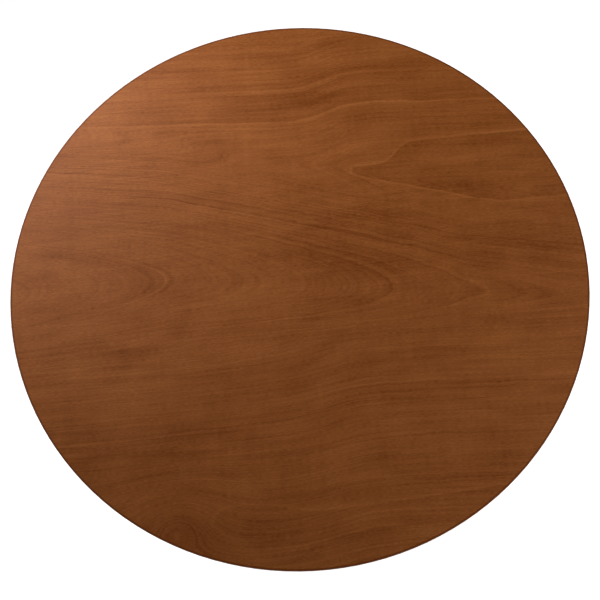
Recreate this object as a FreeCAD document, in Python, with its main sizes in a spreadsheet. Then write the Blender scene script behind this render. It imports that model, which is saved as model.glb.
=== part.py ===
import FreeCAD, Part
import math
import os
import re
import Sketcher

# A tilt top table: a round veneered top on two bearers, hinged at the rear edge of a block that is
# tenoned onto a turned column with three sawn legs. A brass slide bolt under the top locks it level.
# Millimetres. +Z is up, the origin is on the floor under the column, +X runs with the grain of the
# top, and -Y is the front. The front edge lifts, and the top ends upright behind the column.

# The driving dimensions: alias, value, what it is.
SIZES = [
    ("table_height", 690, "floor to the face of the top"),
    ("top_diameter", 700, "across the top"),
    ("top_thickness", 18, "core, face and backing veneer together"),
    ("veneer_thickness", 0.7, "face and backing veneer, each"),
    ("lipping_width", 20, "solid ring round the core, under the veneer"),
    ("nose_height", 4, "upright part of the edge, veneer included"),
    ("arris", 0.5, "chamfer round the face veneer"),
    ("bearer_length", 430, "front to back"),
    ("bearer_width", 26, "each of the two bearers"),
    ("bearer_height", 32, "below the top"),
    ("bearer_taper_rise", 17, "how much the ends of a bearer rise"),
    ("bearer_taper_run", 62, "length of the tapered end of a bearer"),
    ("bearer_chamfer", 1.5, "lower edges of a bearer"),
    ("bearer_screw_spacing", 125, "three screws to a bearer, front to back"),
    ("bearer_screw_length", 42, "from the underside of the bearer into the core"),
    ("block_width", 148, "across the block, between the bearers"),
    ("block_front", 76, "column axis to the front face of the block"),
    ("block_gap", 1, "top of the block to the underside of the top"),
    ("block_edge_round", 3, "front edges of the block"),
    ("pivot_back", 60, "column axis to the pivot axis"),
    ("pivot_drop", 17, "underside of the top to the pivot axis"),
    ("pivot_radius", 5, "shank of a shoulder bolt"),
    ("pivot_grip", 34, "length of the shank inside the block"),
    ("pivot_head_radius", 10, "head of a shoulder bolt"),
    ("pivot_head_height", 4.5, "head of a shoulder bolt"),
    ("pivot_chamfer", 1, "point of a shoulder bolt, and rim of its head"),
    ("pivot_socket", 6, "hexagon socket across the flats"),
    ("pivot_socket_floor", 1.5, "metal left behind the hexagon socket"),
    ("bush_radius", 7, "outside of a brass bush"),
    ("running_play", 0.06, "radial clearance of every running fit"),
    ("side_play", 0.3, "end float at a washer, and head to bearer"),
    ("washer_thickness", 1.2, "between the block and a bearer"),
    ("washer_radius", 10, "outside of a washer"),
    ("buffer_radius", 7, "rubber buffers"),
    ("buffer_thickness", 3, "rubber buffers"),
    ("buffer_play", 0.2, "buffer to the surface that rests on it"),
    ("buffer_spread", 104, "left to right between buffers"),
    ("buffer_front", 56, "column axis to the front pair of buffers"),
    ("buffer_back", 32, "column axis to the rear pair of buffers"),
    ("catch_drop", 8, "underside of the top to the axis of the slide bolt"),
    ("catch_radius", 3.5, "rod of the slide bolt"),
    ("catch_length", 72, "rod of the slide bolt"),
    ("catch_chamfer", 1, "both ends of the rod"),
    ("catch_travel", 12, "throw of the slide bolt"),
    ("catch_gap", 4, "block to the tip of the drawn rod"),
    ("catch_plate_width", 38, "back plate of the slide bolt"),
    ("catch_plate_length", 84, "back plate of the slide bolt"),
    ("catch_plate_thickness", 1.6, "back plate of the slide bolt"),
    ("catch_plate_gap", 6, "block to the back plate"),
    ("catch_plate_round", 4, "corners of the back plate"),
    ("catch_screw_side", 5, "side of the back plate to its screws"),
    ("catch_screw_end", 6, "end of the back plate to its screws"),
    ("guide_radius", 7, "outside of a guide, round the rod"),
    ("guide_length", 10, "front to back"),
    ("guide_spacing", 46, "between the two guides"),
    ("knob_radius", 6, "knob of the slide bolt"),
    ("knob_drop", 15, "rod axis to the bottom of the knob"),
    ("knob_cone_share", 0.6, "radius of the cone over the ball, as a share of the radius of the ball"),
    ("knob_cone_rise", 5.2, "middle of the ball to the thin end of the cone"),
    ("knob_stem_radius", 2, "stem of the knob, and its hole in the rod"),
    ("keeper_width", 44, "keeper plate in the front face of the block"),
    ("keeper_height", 13, "keeper plate"),
    ("keeper_thickness", 1.6, "keeper plate"),
    ("keeper_play", 0.8, "rod to the hole that it enters"),
    ("keeper_screw_spacing", 30, "between the two screws"),
    ("keeper_bore_depth", 14, "hole in the block behind the keeper"),
    ("small_screw_radius", 1.3, "shank of the screws in brass fittings"),
    ("small_screw_head", 2.8, "head of the screws in brass fittings"),
    ("small_screw_length", 13, "screws in brass fittings"),
    ("wood_screw_radius", 2.2, "shank of the screws in bearers and spider"),
    ("wood_screw_head", 4.4, "head of the screws in bearers and spider"),
    ("spider_screw_length", 24, "screws in the spider"),
    ("screw_point", 3, "length of a screw's point, in radii of its shank"),
    ("slot_width", 0.8, "driver slot in a screw head"),
    ("slot_depth", 0.7, "driver slot in a screw head"),
    ("hub_bottom", 78, "floor to the underside of the column"),
    ("hub_radius", 38, "plain turned stretch that takes the legs"),
    ("hub_height", 116, "plain turned stretch that takes the legs"),
    ("hub_chamfer", 2, "lower edge of the column"),
    ("hub_shoulder", 8, "how much the rounded top of the hub rises and draws in"),
    ("hub_shoulder_round", 9, "radius of the rounded top of the hub"),
    ("shaft_foot", 4, "plain ring under the tapered shaft"),
    ("shaft_base_radius", 28, "lower end of the tapered shaft"),
    ("shaft_neck_radius", 18.5, "upper end of the tapered shaft"),
    ("shaft_arc_radius", 2600, "swell of the tapered shaft"),
    ("collar_radius", 22, "ring under the neck"),
    ("collar_height", 10, "ring under the neck"),
    ("collar_round", 6, "radius of the ring's outer face"),
    ("collar_drop", 58, "block to the top of the ring"),
    ("neck_height", 6, "plain stretch above the ring"),
    ("neck_flare", 70, "radius of the hollow between the neck and the shoulder"),
    ("shoulder_radius", 30, "top of the column, under the block"),
    ("shoulder_height", 5, "upright edge of the shoulder"),
    ("tenon_radius", 19, "round tenon through the block"),
    ("wedge_width", 4.6, "wedge across the tenon, at its thick end"),
    ("wedge_tip", 1.4, "wedge across the tenon, at its thin end"),
    ("wedge_depth", 27, "length of the wedge down the tenon"),
    ("wedge_play", 0.3, "each end of the wedge to the wall of the mortise"),
    ("rear_leg_angle", 90, "plan angle of the rear leg, in degrees"),
    ("leg_thickness", 32, "board that the legs are sawn from"),
    ("leg_shoulder", 34.5, "column axis to the flat that a leg butts"),
    ("leg_shoulder_height", 104, "height of a leg where it meets the column"),
    ("leg_round", 4, "rounding along the edges of a leg"),
    ("leg_reach", 265, "column axis to the toe"),
    ("toe_height", 15, "thickness of the toe"),
    ("toe_round", 10, "radius of the top of the toe"),
    ("sole_round", 5, "radius of the underside of the toe"),
    ("arch_start", 62, "column axis to where the underside leaves the hub"),
    ("arch_end", 214, "column axis to where the underside meets the pad"),
    ("dovetail_depth", 12.5, "length of the tail"),
    ("dovetail_neck", 14, "width of the tail at the shoulder"),
    ("dovetail_tail", 20, "width of the tail at its inner end"),
    ("dovetail_height", 94, "height of the tail"),
    ("glide_height", 4, "floor to the underside of a foot"),
    ("glide_radius", 12, "nylon glides"),
    ("glide_reach", 240, "column axis to the middle of a glide"),
    ("glide_chamfer", 0.8, "lower edge of a glide"),
    ("nail_radius", 1.4, "shank of a glide nail"),
    ("nail_head_radius", 4, "head of a glide nail"),
    ("nail_head_height", 1, "head of a glide nail"),
    ("nail_length", 19, "whole glide nail"),
    ("nail_point", 2, "pointed end of a glide nail"),
    ("spider_thickness", 2.4, "iron plate under the hub"),
    ("spider_reach", 61, "column axis to the end of an arm"),
    ("spider_arm_width", 20, "arm of the iron plate"),
    ("spider_radius", 27, "middle of the iron plate"),
    ("spider_screw_inner", 13, "column axis to the screws in the column"),
    ("spider_screw_outer", 50, "column axis to the screws in the legs"),
]

SHEET = "Sizes"
ALIASES = {alias for alias, _, _ in SIZES}
LEG_COUNT = 3
CLOSE = 0.01        # millimetres; places nearer than this are the same
TRACE = 0.01        # cubic millimetres; less than any real cut removes

# Levels and places that several pieces share, as formulas of the driving dimensions.
UNDERSIDE = "(table_height - top_thickness)"
TOP_RADIUS = "(top_diameter / 2)"
CORE_RADIUS = "(top_diameter / 2 - lipping_width)"
CORE_BOTTOM = "(table_height - top_thickness + veneer_thickness)"
CORE_TOP = "(table_height - veneer_thickness)"
BEVEL = "(top_thickness - nose_height)"
PIVOT_Z = "(table_height - top_thickness - pivot_drop)"
BLOCK_TOP = "(table_height - top_thickness - block_gap)"
BLOCK_ROUND = "(pivot_drop - block_gap)"
BLOCK_BOTTOM = "(table_height - top_thickness - 2 * pivot_drop + block_gap)"
BLOCK_BACK = "(pivot_back + pivot_drop - block_gap)"
BEARER_INNER = "(block_width / 2 + washer_thickness + side_play)"
BEARER_MIDDLE = f"({BEARER_INNER} + bearer_width / 2)"
BEARER_OUTER = f"({BEARER_INNER} + bearer_width)"
BEARER_BOTTOM = "(table_height - top_thickness - bearer_height)"
CATCH_Z = "(table_height - top_thickness - catch_drop)"
CATCH_TIP = "(-block_front - catch_gap)"
PLATE_BACK = "(-block_front - catch_plate_gap)"
PLATE_BOTTOM = "(table_height - top_thickness - catch_plate_thickness)"
GUIDE_MIDDLE = "(-block_front - catch_plate_gap - catch_plate_length / 2)"
HUB_TOP = "(hub_bottom + hub_height)"
STOP_Z = f"({PIVOT_Z} - {BLOCK_ROUND} / 2)"

doc = FreeCAD.newDocument("tilt_top_table")
sheet = doc.addObject("Spreadsheet::Sheet", SHEET)


def fill_sheet():
    """One row for each driving dimension: its name, its value under the alias, and what it is."""
    for row, (alias, value, note) in enumerate(SIZES, start=1):
        sheet.set(f"A{row}", alias)
        sheet.set(f"B{row}", str(value))
        sheet.setAlias(f"B{row}", alias)
        sheet.set(f"C{row}", note)
    doc.recompute()


def bound(formula):
    """The formula with each alias written the way an expression outside the sheet needs it."""
    return re.sub(r"[a-z_]+", lambda word: f"{SHEET}.{word[0]}" if word[0] in ALIASES else word[0],
                  formula)


def number(formula):
    """The value of a formula of the sheet's aliases."""
    return float(sheet.evalExpression(formula))


# ---- bodies, sketches and features ----

def new_body(label, angle=None):
    """A body that may hold several separate solids, turned about the column axis by any angle."""
    body = doc.addObject("PartDesign::Body", label)
    body.Label = label
    body.AllowCompound = True
    if angle:
        body.Placement.Rotation = FreeCAD.Rotation(FreeCAD.Vector(0, 0, 1), number(angle))
        body.setExpression("Placement.Rotation.Angle", bound(angle))
    return body


def origin_feature(body, role):
    """One of the body's own planes or axes."""
    return next(item for item in body.Origin.OriginFeatures if item.Role == role)


def new_sketch(body, role, x="0", y="0", z="0"):
    """A sketch parallel to an origin plane, with its own origin at x, y, z in the body."""
    sketch = body.newObject("Sketcher::SketchObject", f"{body.Name}_sketch")
    sketch.AttachmentSupport = [(origin_feature(body, role), "")]
    sketch.MapMode = "FlatFace"
    local = {"XY_Plane": (x, y, z), "XZ_Plane": (x, z, f"-({y})"), "YZ_Plane": (y, z, x)}[role]
    for axis, formula in zip("xyz", local):
        sketch.setExpression(f"AttachmentOffset.Base.{axis}", bound(formula))
    return sketch


def constrain(sketch, kind, *targets):
    """Add a dimension to the sketch and bind it to the sheet; the formula comes last."""
    *where, formula = targets
    index = sketch.addConstraint(Sketcher.Constraint(kind, *where, number(formula)))
    sketch.setExpression(f"Constraints[{index}]", bound(formula))


def arc_between(start, end, radius, side):
    """The shorter arc from start to end that bulges to the left or the right of the way there."""
    chord = end - start
    rise = radius - math.sqrt(radius ** 2 - chord.Length ** 2 / 4)
    left = FreeCAD.Vector(-chord.y, chord.x, 0).normalize()
    return Part.Arc(start, (start + end) / 2 + left * (rise if side == "left" else -rise), end)


def end_at(sketch, edge, point):
    """Which end of a sketch edge lies at the point: 1 for its start, 2 for its end."""
    return 1 if (sketch.getPoint(edge, 1) - point).Length < CLOSE else 2


def outline(sketch, corners):
    """A closed outline. A corner (x, y) starts a line and (x, y, radius, side) starts an arc."""
    points = [FreeCAD.Vector(number(corner[0]), number(corner[1]), 0) for corner in corners]
    after = points[1:] + points[:1]
    edges = []
    for corner, start, end in zip(corners, points, after):
        if len(corner) == 2:
            shape = Part.LineSegment(start, end)
        else:
            shape = arc_between(start, end, number(corner[2]), corner[3])
        edges.append(sketch.addGeometry(shape))
    for edge, following, point in zip(edges, edges[1:] + edges[:1], after):
        sketch.addConstraint(Sketcher.Constraint(
            "Coincident", edge, end_at(sketch, edge, point),
            following, end_at(sketch, following, point)))
    for edge, corner, start in zip(edges, corners, points):
        end = end_at(sketch, edge, start)
        constrain(sketch, "DistanceX", -1, 1, edge, end, corner[0])
        constrain(sketch, "DistanceY", -1, 1, edge, end, corner[1])
        if len(corner) == 4:
            constrain(sketch, "Radius", edge, corner[2])


def circles(sketch, radius, centres):
    """Circles of one radius about each centre."""
    for x, y in centres:
        middle = FreeCAD.Vector(number(x), number(y), 0)
        circle = sketch.addGeometry(Part.Circle(middle, FreeCAD.Vector(0, 0, 1), number(radius)))
        constrain(sketch, "DistanceX", -1, 1, circle, 3, x)
        constrain(sketch, "DistanceY", -1, 1, circle, 3, y)
        constrain(sketch, "Radius", circle, radius)


def rectangle(sketch, left, low, right, high):
    """A rectangle between two opposite corners."""
    outline(sketch, [(left, low), (right, low), (right, high), (left, high)])


def pad(body, sketch, length, centred=False):
    """Thicken a sketch along its plane's normal, or equally to both sides."""
    feature = body.newObject("PartDesign::Pad", f"{body.Name}_pad")
    feature.Profile = sketch
    feature.SideType = "Symmetric" if centred else "One side"
    feature.setExpression("Length", bound(length))
    doc.recompute()
    return feature


def turn(body, sketch, axis="V_Axis"):
    """Turn a sketch once round its own vertical or horizontal axis."""
    feature = body.newObject("PartDesign::Revolution", f"{body.Name}_turning")
    feature.Profile = sketch
    feature.ReferenceAxis = (sketch, [axis])
    feature.Angle = 360
    doc.recompute()
    return feature


def check_carved(body, before, feature):
    """A cut that points away from the solid changes nothing, so its effect is measured."""
    if body.Shape.Volume > before - TRACE:
        raise RuntimeError(f"{feature.Name} removes nothing from {body.Label}")


def pocket(body, sketch, length, centred=False, reverse=False):
    """Cut a sketch out of the body: against its normal, with it, or equally to both sides."""
    before = body.Shape.Volume
    feature = body.newObject("PartDesign::Pocket", f"{body.Name}_pocket")
    feature.Profile = sketch
    feature.SideType = "Symmetric" if centred else "One side"
    feature.Reversed = reverse
    feature.setExpression("Length", bound(length))
    doc.recompute()
    check_carved(body, before, feature)
    return feature


def groove(body, sketch, axis="V_Axis"):
    """Cut away a sketch turned once round its own vertical or horizontal axis."""
    before = body.Shape.Volume
    feature = body.newObject("PartDesign::Groove", f"{body.Name}_groove")
    feature.Profile = sketch
    feature.ReferenceAxis = (sketch, [axis])
    feature.Angle = 360
    doc.recompute()
    check_carved(body, before, feature)
    return feature


def edge_treatment(body, kind, size, wanted):
    """Fillet or chamfer every edge of the body that passes the test."""
    base = body.Tip
    names = [f"Edge{i}" for i, edge in enumerate(base.Shape.Edges, start=1) if wanted(edge)]
    if not names:
        raise RuntimeError(f"no edge of {body.Label} to treat")
    feature = body.newObject(f"PartDesign::{kind}", f"{body.Name}_{kind.lower()}")
    feature.Base = (base, names)
    feature.setExpression("Radius" if kind == "Fillet" else "Size", bound(size))
    doc.recompute()


def around_column(body, features):
    """Repeat features for every leg, evenly about the column axis."""
    pattern = body.newObject("PartDesign::PolarPattern", f"{body.Name}_polar")
    pattern.Originals = features
    pattern.Axis = (origin_feature(body, "Z_Axis"), [""])
    pattern.Angle = 360
    pattern.Occurrences = LEG_COUNT
    body.Tip = pattern
    doc.recompute()


def spread(body, features, steps):
    """Repeat features along one or more axes; each step is (axis, whole length, count)."""
    parts = []
    for axis, length, count in steps:
        row = body.newObject("PartDesign::LinearPattern", f"{body.Name}_row")
        row.Direction = (origin_feature(body, axis), [""])
        row.Occurrences = count
        row.setExpression("Length", bound(length))
        parts.append(row)
    if len(parts) == 1:
        parts[0].Originals = features
        body.Tip = parts[0]
    else:
        grid = body.newObject("PartDesign::MultiTransform", f"{body.Name}_grid")
        grid.Originals = features
        grid.Transformations = parts
        body.Tip = grid
    doc.recompute()


# ---- screws ----

def screw_outline(length, shank, head):
    """Half of a countersunk screw: radius across, and depth from the flat of the head upward."""
    return [("0", "0"), (head, "0"), (shank, f"{head} - {shank}"),
            (shank, f"{length} - screw_point * {shank}"), ("0", length)]


def upright_screw(body, length, shank, head, x, y, z):
    """A screw driven upward, with a slotted head whose flat is at x, y, z."""
    profile = new_sketch(body, "XZ_Plane", x, y, z)
    outline(profile, screw_outline(length, shank, head))
    turned = turn(body, profile)
    slot = new_sketch(body, "XY_Plane", x, y, z)
    rectangle(slot, f"-{head}", "-slot_width / 2", head, "slot_width / 2")
    return [turned, pocket(body, slot, "slot_depth", reverse=True)]


def upright_screw_hole(body, length, shank, head, x, y, z):
    """The countersunk hole that an upright screw fills, open to its point."""
    profile = new_sketch(body, "XZ_Plane", x, y, z)
    outline(profile, [("0", "0"), (head, "0"), (shank, f"{head} - {shank}"), (shank, length),
                      ("0", length)])
    return groove(body, profile)


# ---- the top ----

def disc(label, radius, bottom, thickness):
    """A plain round board."""
    body = new_body(label)
    sketch = new_sketch(body, "XY_Plane", z=bottom)
    circles(sketch, radius, [("0", "0")])
    pad(body, sketch, thickness)
    return body


def bearer_screw_places():
    """Middle of each row of bearer screws, left and right."""
    return [f"-{BEARER_MIDDLE}", BEARER_MIDDLE]


def catch_screw_corner():
    """The front left screw of the back plate: x and y."""
    return ("catch_screw_side - catch_plate_width / 2",
            f"{PLATE_BACK} - catch_plate_length + catch_screw_end")


def catch_screw_steps():
    """How the four screws of the back plate repeat."""
    return [("X_Axis", "catch_plate_width - 2 * catch_screw_side", 2),
            ("Y_Axis", "catch_plate_length - 2 * catch_screw_end", 2)]


def drill_top(body, bottom):
    """Holes for the bearer screws and for the screws of the back plate."""
    bearer_tip = f"({BEARER_BOTTOM} + bearer_screw_length)"
    sketch = new_sketch(body, "XY_Plane", z=bottom)
    for x in bearer_screw_places():
        circles(sketch, "wood_screw_radius",
                [(x, "-bearer_screw_spacing"), (x, "0"), (x, "bearer_screw_spacing")])
    pocket(body, sketch, f"{bearer_tip} - {bottom}", reverse=True)
    catch_tip = f"({PLATE_BOTTOM} + small_screw_length)"
    x, y = catch_screw_corner()
    sketch = new_sketch(body, "XY_Plane", z=bottom)
    circles(sketch, "small_screw_radius", [(x, y)])
    hole = pocket(body, sketch, f"{catch_tip} - {bottom}", reverse=True)
    spread(body, [hole], catch_screw_steps())


def make_face_veneer():
    """The show face, run over the lipping to the edge."""
    body = disc("face_veneer", TOP_RADIUS, CORE_TOP, "veneer_thickness")
    face = number("table_height")
    edge_treatment(body, "Chamfer", "arris",
                   lambda edge: abs(edge.CenterOfMass.z - face) < CLOSE and edge.Closed)


def make_core():
    """The board between the veneers."""
    body = disc("top_core", CORE_RADIUS, CORE_BOTTOM, f"{CORE_TOP} - {CORE_BOTTOM}")
    drill_top(body, CORE_BOTTOM)


def make_backing_veneer():
    """The underside, run over the lipping to the bevel."""
    body = disc("backing_veneer", f"{TOP_RADIUS} - {BEVEL}", UNDERSIDE, "veneer_thickness")
    drill_top(body, UNDERSIDE)


def make_edge_band():
    """Solid lipping with an upright nose and a bevelled underside."""
    body = new_body("edge_band")
    sketch = new_sketch(body, "XZ_Plane")
    bevel_foot = f"{TOP_RADIUS} - {BEVEL} + veneer_thickness"
    outline(sketch, [(CORE_RADIUS, CORE_BOTTOM), (bevel_foot, CORE_BOTTOM),
                     (TOP_RADIUS, "table_height - nose_height"), (TOP_RADIUS, CORE_TOP),
                     (CORE_RADIUS, CORE_TOP)])
    turn(body, sketch)


# ---- the bearers and the pivot ----

def make_bearer(label, sign):
    """A bearer with tapered ends, screw holes and a bore for its bush."""
    body = new_body(label)
    half = "bearer_length / 2"
    raised = f"{BEARER_BOTTOM} + bearer_taper_rise"
    side = new_sketch(body, "YZ_Plane", x=f"{sign} * {BEARER_MIDDLE}")
    outline(side, [(f"-{half}", UNDERSIDE), (f"-{half}", raised),
                   (f"-{half} + bearer_taper_run", BEARER_BOTTOM),
                   (f"{half} - bearer_taper_run", BEARER_BOTTOM), (half, raised), (half, UNDERSIDE)])
    pad(body, side, "bearer_width", centred=True)
    bottom = number(BEARER_BOTTOM)
    edge_treatment(body, "Chamfer", "bearer_chamfer",
                   lambda edge: edge.BoundBox.ZMin < bottom + CLOSE and edge.BoundBox.YLength > CLOSE)
    bore = new_sketch(body, "YZ_Plane", x=f"{sign} * {BEARER_MIDDLE}")
    circles(bore, "bush_radius", [("pivot_back", PIVOT_Z)])
    pocket(body, bore, "2 * bearer_width", centred=True)
    hole = upright_screw_hole(body, "2 * bearer_height", "wood_screw_radius", "wood_screw_head",
                              f"{sign} * {BEARER_MIDDLE}", "-bearer_screw_spacing", BEARER_BOTTOM)
    spread(body, [hole], [("Y_Axis", "2 * bearer_screw_spacing", 3)])


def make_bearer_screws():
    """Three screws up through each bearer into the core."""
    body = new_body("bearer_screws")
    screw = upright_screw(body, "bearer_screw_length", "wood_screw_radius", "wood_screw_head",
                          f"-{BEARER_MIDDLE}", "-bearer_screw_spacing", BEARER_BOTTOM)
    spread(body, screw, [("X_Axis", f"2 * {BEARER_MIDDLE}", 2),
                         ("Y_Axis", "2 * bearer_screw_spacing", 3)])


def make_bush(label, sign):
    """A brass bush pressed into a bearer, running on a shoulder bolt."""
    body = new_body(label)
    ring = new_sketch(body, "YZ_Plane", x=f"{sign} * {BEARER_MIDDLE}")
    circles(ring, "bush_radius", [("pivot_back", PIVOT_Z)])
    circles(ring, "pivot_radius + running_play", [("pivot_back", PIVOT_Z)])
    pad(body, ring, "bearer_width", centred=True)


def make_pivot_bolt(label, sign):
    """A shoulder bolt through a bearer into the side of the block, with a hexagon socket."""
    body = new_body(label)
    inner = "block_width / 2 - pivot_grip"
    collar = f"{BEARER_OUTER} + side_play"
    outer = f"{collar} + pivot_head_height"
    profile = new_sketch(body, "XY_Plane", y="pivot_back", z=PIVOT_Z)
    half = [(inner, "0"), (inner, "pivot_radius - pivot_chamfer"),
            (f"{inner} + pivot_chamfer", "pivot_radius"), (collar, "pivot_radius"),
            (collar, "pivot_head_radius"), (f"{outer} - pivot_chamfer", "pivot_head_radius"),
            (outer, "pivot_head_radius - pivot_chamfer"), (outer, "0")]
    outline(profile, [(f"{sign} * ({x})", across) for x, across in half])
    turn(body, profile, "H_Axis")
    socket = new_sketch(body, "YZ_Plane", x=f"{sign} * ({outer})", y="pivot_back", z=PIVOT_Z)
    corner = "pivot_socket / sqrt(3)"
    outline(socket, [(corner, "0"), (f"{corner} / 2", "pivot_socket / 2"),
                     (f"-{corner} / 2", "pivot_socket / 2"), (f"-{corner}", "0"),
                     (f"-{corner} / 2", "-pivot_socket / 2"), (f"{corner} / 2", "-pivot_socket / 2")])
    pocket(body, socket, "2 * (pivot_head_height - pivot_socket_floor)", centred=True)


def make_pivot_washers():
    """A washer on each shoulder bolt, between the block and the bearer."""
    body = new_body("pivot_washers")
    ring = new_sketch(body, "YZ_Plane", x="-block_width / 2 - washer_thickness")
    circles(ring, "washer_radius", [("pivot_back", PIVOT_Z)])
    circles(ring, "pivot_radius", [("pivot_back", PIVOT_Z)])
    washer = pad(body, ring, "washer_thickness")
    spread(body, [washer], [("X_Axis", "block_width + washer_thickness", 2)])


# ---- the block ----

def rest_buffer_steps():
    """How the four buffers on the block repeat from the front left one."""
    return [("X_Axis", "buffer_spread", 2), ("Y_Axis", "buffer_front + buffer_back", 2)]


def make_tilt_block():
    """The block on the column: its upper rear edge is round about the pivot so that the top clears."""
    body = new_body("tilt_block")
    side = new_sketch(body, "YZ_Plane")
    outline(side, [("-block_front", BLOCK_BOTTOM), (BLOCK_BACK, BLOCK_BOTTOM),
                   (BLOCK_BACK, PIVOT_Z, BLOCK_ROUND, "right"), ("pivot_back", BLOCK_TOP),
                   ("-block_front", BLOCK_TOP)])
    pad(body, side, "block_width", centred=True)
    front = -number("block_front")
    edge_treatment(body, "Fillet", "block_edge_round",
                   lambda edge: abs(edge.BoundBox.YMin - front) < CLOSE
                   and abs(edge.BoundBox.YMax - front) < CLOSE)
    mortise = new_sketch(body, "XY_Plane", z=BLOCK_BOTTOM)
    circles(mortise, "tenon_radius", [("0", "0")])
    pocket(body, mortise, f"4 * {BLOCK_ROUND}", centred=True)
    bores = new_sketch(body, "YZ_Plane", x="block_width / 2")
    circles(bores, "pivot_radius", [("pivot_back", PIVOT_Z)])
    pocket(body, bores, "pivot_grip")
    bores = new_sketch(body, "YZ_Plane", x="-block_width / 2")
    circles(bores, "pivot_radius", [("pivot_back", PIVOT_Z)])
    pocket(body, bores, "pivot_grip", reverse=True)
    seat = new_sketch(body, "XY_Plane", z=BLOCK_TOP)
    circles(seat, "buffer_radius", [("-buffer_spread / 2", "-buffer_front")])
    seat = pocket(body, seat, "buffer_thickness - block_gap + buffer_play")
    spread(body, [seat], rest_buffer_steps())
    stops = new_sketch(body, "XZ_Plane", y=BLOCK_BACK)
    circles(stops, "buffer_radius", [("-buffer_spread / 2", STOP_Z), ("buffer_spread / 2", STOP_Z)])
    pocket(body, stops, "buffer_thickness - block_gap + buffer_play", reverse=True)
    cut_keeper_seat(body)


def cut_keeper_seat(body):
    """A shallow seat for the keeper, the hole that the rod enters, and two screw holes."""
    seat = new_sketch(body, "XZ_Plane", y="-block_front", z=CATCH_Z)
    rectangle(seat, "-keeper_width / 2", "-keeper_height / 2", "keeper_width / 2",
              "keeper_height / 2")
    pocket(body, seat, "2 * keeper_thickness", centred=True)
    bore = new_sketch(body, "XZ_Plane", y="-block_front", z=CATCH_Z)
    circles(bore, "catch_radius + keeper_play", [("0", "0")])
    pocket(body, bore, "2 * keeper_bore_depth", centred=True)
    screws = new_sketch(body, "XZ_Plane", y="-block_front", z=CATCH_Z)
    circles(screws, "small_screw_radius",
            [("-keeper_screw_spacing / 2", "0"), ("keeper_screw_spacing / 2", "0")])
    pocket(body, screws, "2 * small_screw_length", centred=True)


def make_rest_buffers():
    """Four rubber buffers let into the top of the block."""
    body = new_body("rest_buffers")
    sketch = new_sketch(body, "XY_Plane", z=f"{UNDERSIDE} - buffer_play - buffer_thickness")
    circles(sketch, "buffer_radius", [("-buffer_spread / 2", "-buffer_front")])
    buffer = pad(body, sketch, "buffer_thickness")
    spread(body, [buffer], rest_buffer_steps())


def make_stop_buffers():
    """Two rubber buffers in the rear face of the block, which the upright top leans on."""
    body = new_body("stop_buffers")
    sketch = new_sketch(body, "XZ_Plane", y=f"{BLOCK_BACK} + block_gap - buffer_play")
    circles(sketch, "buffer_radius", [("-buffer_spread / 2", STOP_Z), ("buffer_spread / 2", STOP_Z)])
    pad(body, sketch, "buffer_thickness")


def make_keeper():
    """The brass plate that the rod enters."""
    body = new_body("keeper_plate")
    sketch = new_sketch(body, "XZ_Plane", y="-block_front + keeper_thickness", z=CATCH_Z)
    rectangle(sketch, "-keeper_width / 2", "-keeper_height / 2", "keeper_width / 2",
              "keeper_height / 2")
    circles(sketch, "catch_radius + keeper_play", [("0", "0")])
    pad(body, sketch, "keeper_thickness")
    hole = new_sketch(body, "XY_Plane", x="-keeper_screw_spacing / 2", y="-block_front", z=CATCH_Z)
    outline(hole, [("0", "0"), ("small_screw_head", "0"),
                   ("small_screw_radius", "small_screw_head - small_screw_radius"),
                   ("small_screw_radius", "2 * keeper_thickness"), ("0", "2 * keeper_thickness")])
    hole = groove(body, hole)
    spread(body, [hole], [("X_Axis", "keeper_screw_spacing", 2)])


def make_keeper_screws():
    """Two countersunk screws, flush with the keeper."""
    body = new_body("keeper_screws")
    x = "-keeper_screw_spacing / 2"
    profile = new_sketch(body, "XY_Plane", x=x, y="-block_front", z=CATCH_Z)
    outline(profile, screw_outline("small_screw_length", "small_screw_radius", "small_screw_head"))
    turned = turn(body, profile)
    slot = new_sketch(body, "XZ_Plane", x=x, y="-block_front", z=CATCH_Z)
    rectangle(slot, "-small_screw_head", "-slot_width / 2", "small_screw_head", "slot_width / 2")
    slot = pocket(body, slot, "slot_depth")
    spread(body, [turned, slot], [("X_Axis", "keeper_screw_spacing", 2)])


# ---- the slide bolt ----

def make_catch_plate():
    """The back plate, screwed to the underside of the top."""
    body = new_body("catch_plate")
    sketch = new_sketch(body, "XY_Plane", z=PLATE_BOTTOM)
    rectangle(sketch, "-catch_plate_width / 2", f"{PLATE_BACK} - catch_plate_length",
              "catch_plate_width / 2", PLATE_BACK)
    pad(body, sketch, "catch_plate_thickness")
    edge_treatment(body, "Fillet", "catch_plate_round", lambda edge: edge.BoundBox.ZLength > CLOSE)
    x, y = catch_screw_corner()
    hole = upright_screw_hole(body, "2 * catch_plate_thickness", "small_screw_radius",
                              "small_screw_head", x, y, PLATE_BOTTOM)
    spread(body, [hole], catch_screw_steps())


def make_catch_screws():
    """Four screws through the back plate."""
    body = new_body("catch_screws")
    x, y = catch_screw_corner()
    screw = upright_screw(body, "small_screw_length", "small_screw_radius", "small_screw_head",
                          x, y, PLATE_BOTTOM)
    spread(body, screw, catch_screw_steps())


def make_catch_guides():
    """Two saddles on the back plate that the rod slides through."""
    body = new_body("catch_guides")
    sketch = new_sketch(body, "XZ_Plane", y=f"{GUIDE_MIDDLE} - guide_spacing / 2", z=CATCH_Z)
    plate = f"{PLATE_BOTTOM} - {CATCH_Z}"
    outline(sketch, [("-guide_radius", "0", "guide_radius", "right"),
                     ("0", "-guide_radius", "guide_radius", "right"), ("guide_radius", "0"),
                     ("guide_radius", plate), ("-guide_radius", plate)])
    circles(sketch, "catch_radius + running_play", [("0", "0")])
    guide = pad(body, sketch, "guide_length", centred=True)
    spread(body, [guide], [("Y_Axis", "guide_spacing", 2)])


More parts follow.
